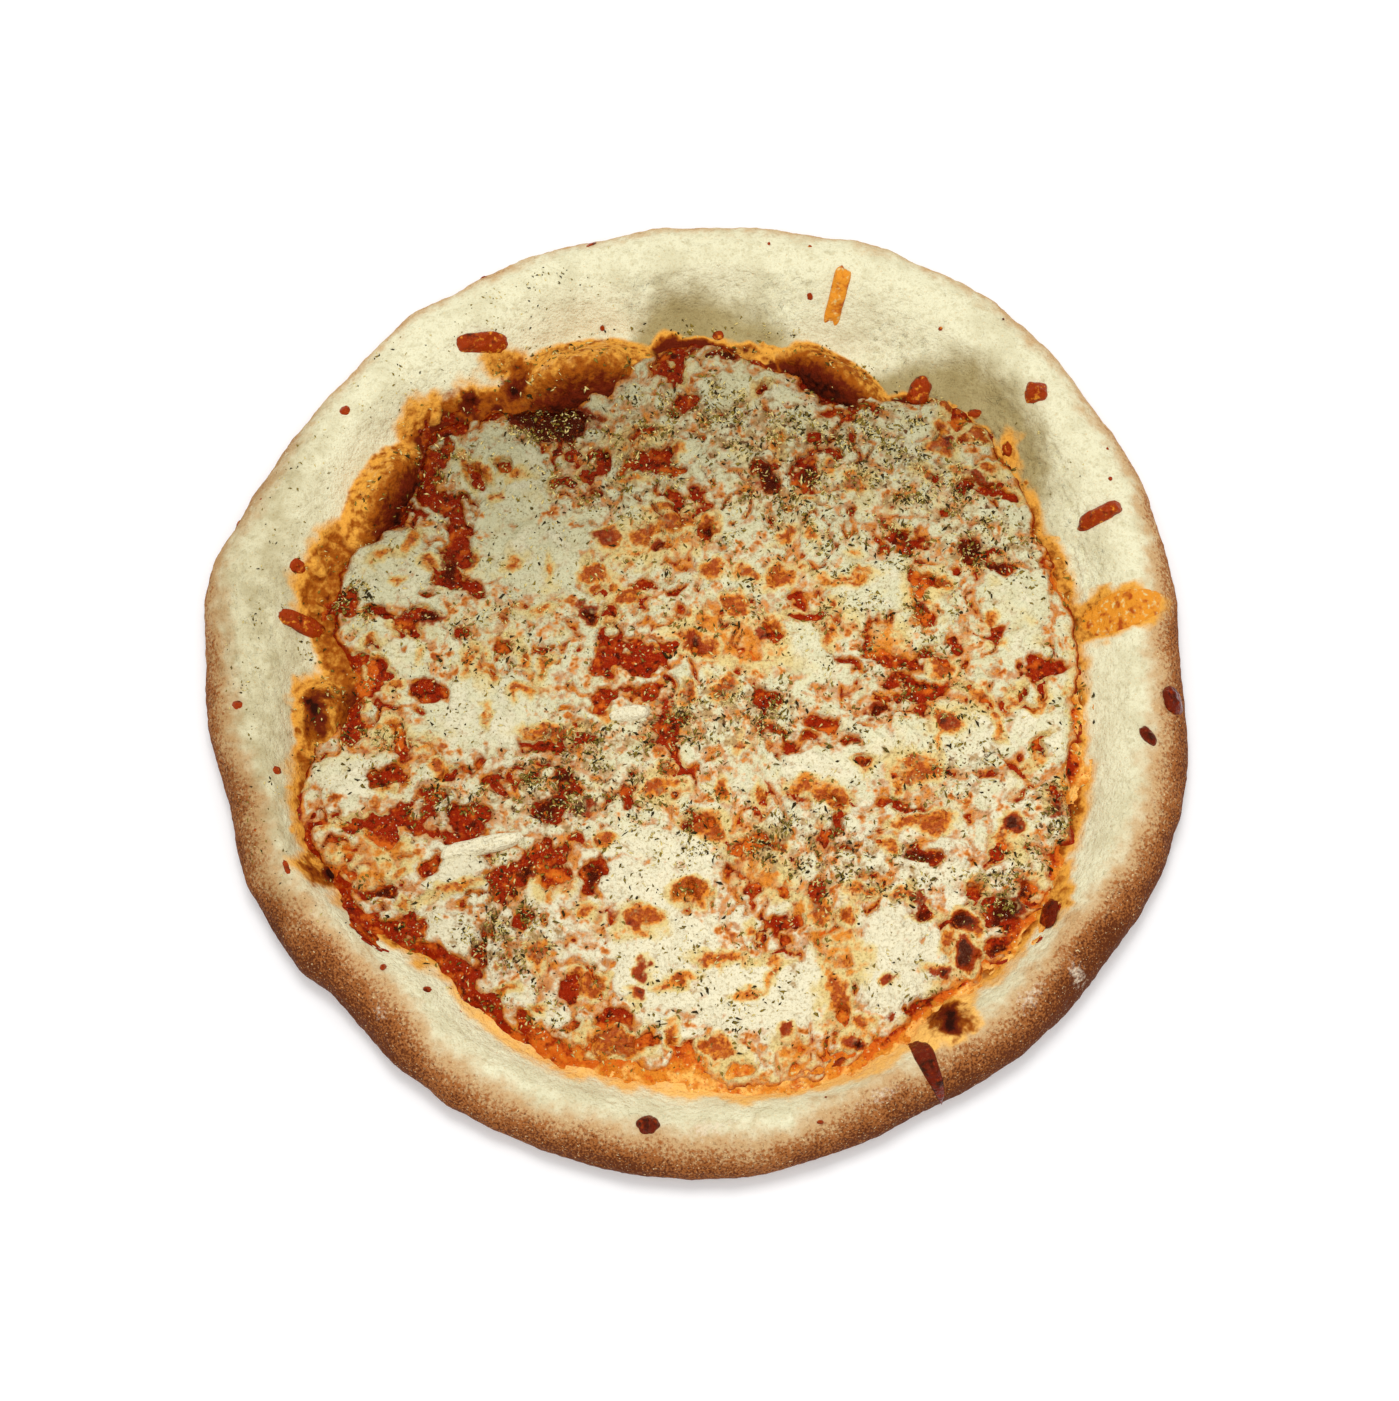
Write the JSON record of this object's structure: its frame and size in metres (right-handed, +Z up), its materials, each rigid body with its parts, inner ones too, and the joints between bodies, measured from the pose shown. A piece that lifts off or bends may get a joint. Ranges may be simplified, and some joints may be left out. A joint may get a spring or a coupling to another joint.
{
  "type": "margherita pizza",
  "caption": "Whole round baked pizza with a puffed uneven rim, melted cheese with windows down to tomato sauce, and dried herbs.",
  "frame": {"origin": "middle of the flat underside, about the centre of the round", "axes": "+Z up through the thickness; -Y is the side nearest the eater; +X to that person's right"},
  "size_m": [0.3019, 0.3035, 0.0232],
  "materials": {
    "baked_dough": "dry baked dough, cream on top and tan-brown round the near side",
    "tomato_sauce": "moist cooked tomato sauce",
    "melted_cheese": "melted cheese with an oily sheen",
    "toasted_cheese": "toasted cheese and sauce, oily"
  },
  "bodies": {
    "root": {"crust": "baked_dough", "tomato_sauce": "tomato_sauce", "mozzarella": "melted_cheese", "cheese_shred_north_west": "toasted_cheese", "cheese_shred_west": "toasted_cheese", "cheese_shred_north": "toasted_cheese", "cheese_chunk_north_east": "toasted_cheese", "cheese_shred_east": "toasted_cheese", "cheese_crumb_east": "toasted_cheese", "toasted_bit_east": "toasted_cheese", "toasted_cheese_patch": "toasted_cheese", "cheese_knob_north_east": "toasted_cheese", "toasted_finger_south_east": "toasted_cheese", "sauce_drip_south_east": "toasted_cheese", "toasted_drop_south": "toasted_cheese", "pale_shred_south_west": "melted_cheese", "pale_shred_middle": "melted_cheese"}
  },
  "joints": []
}
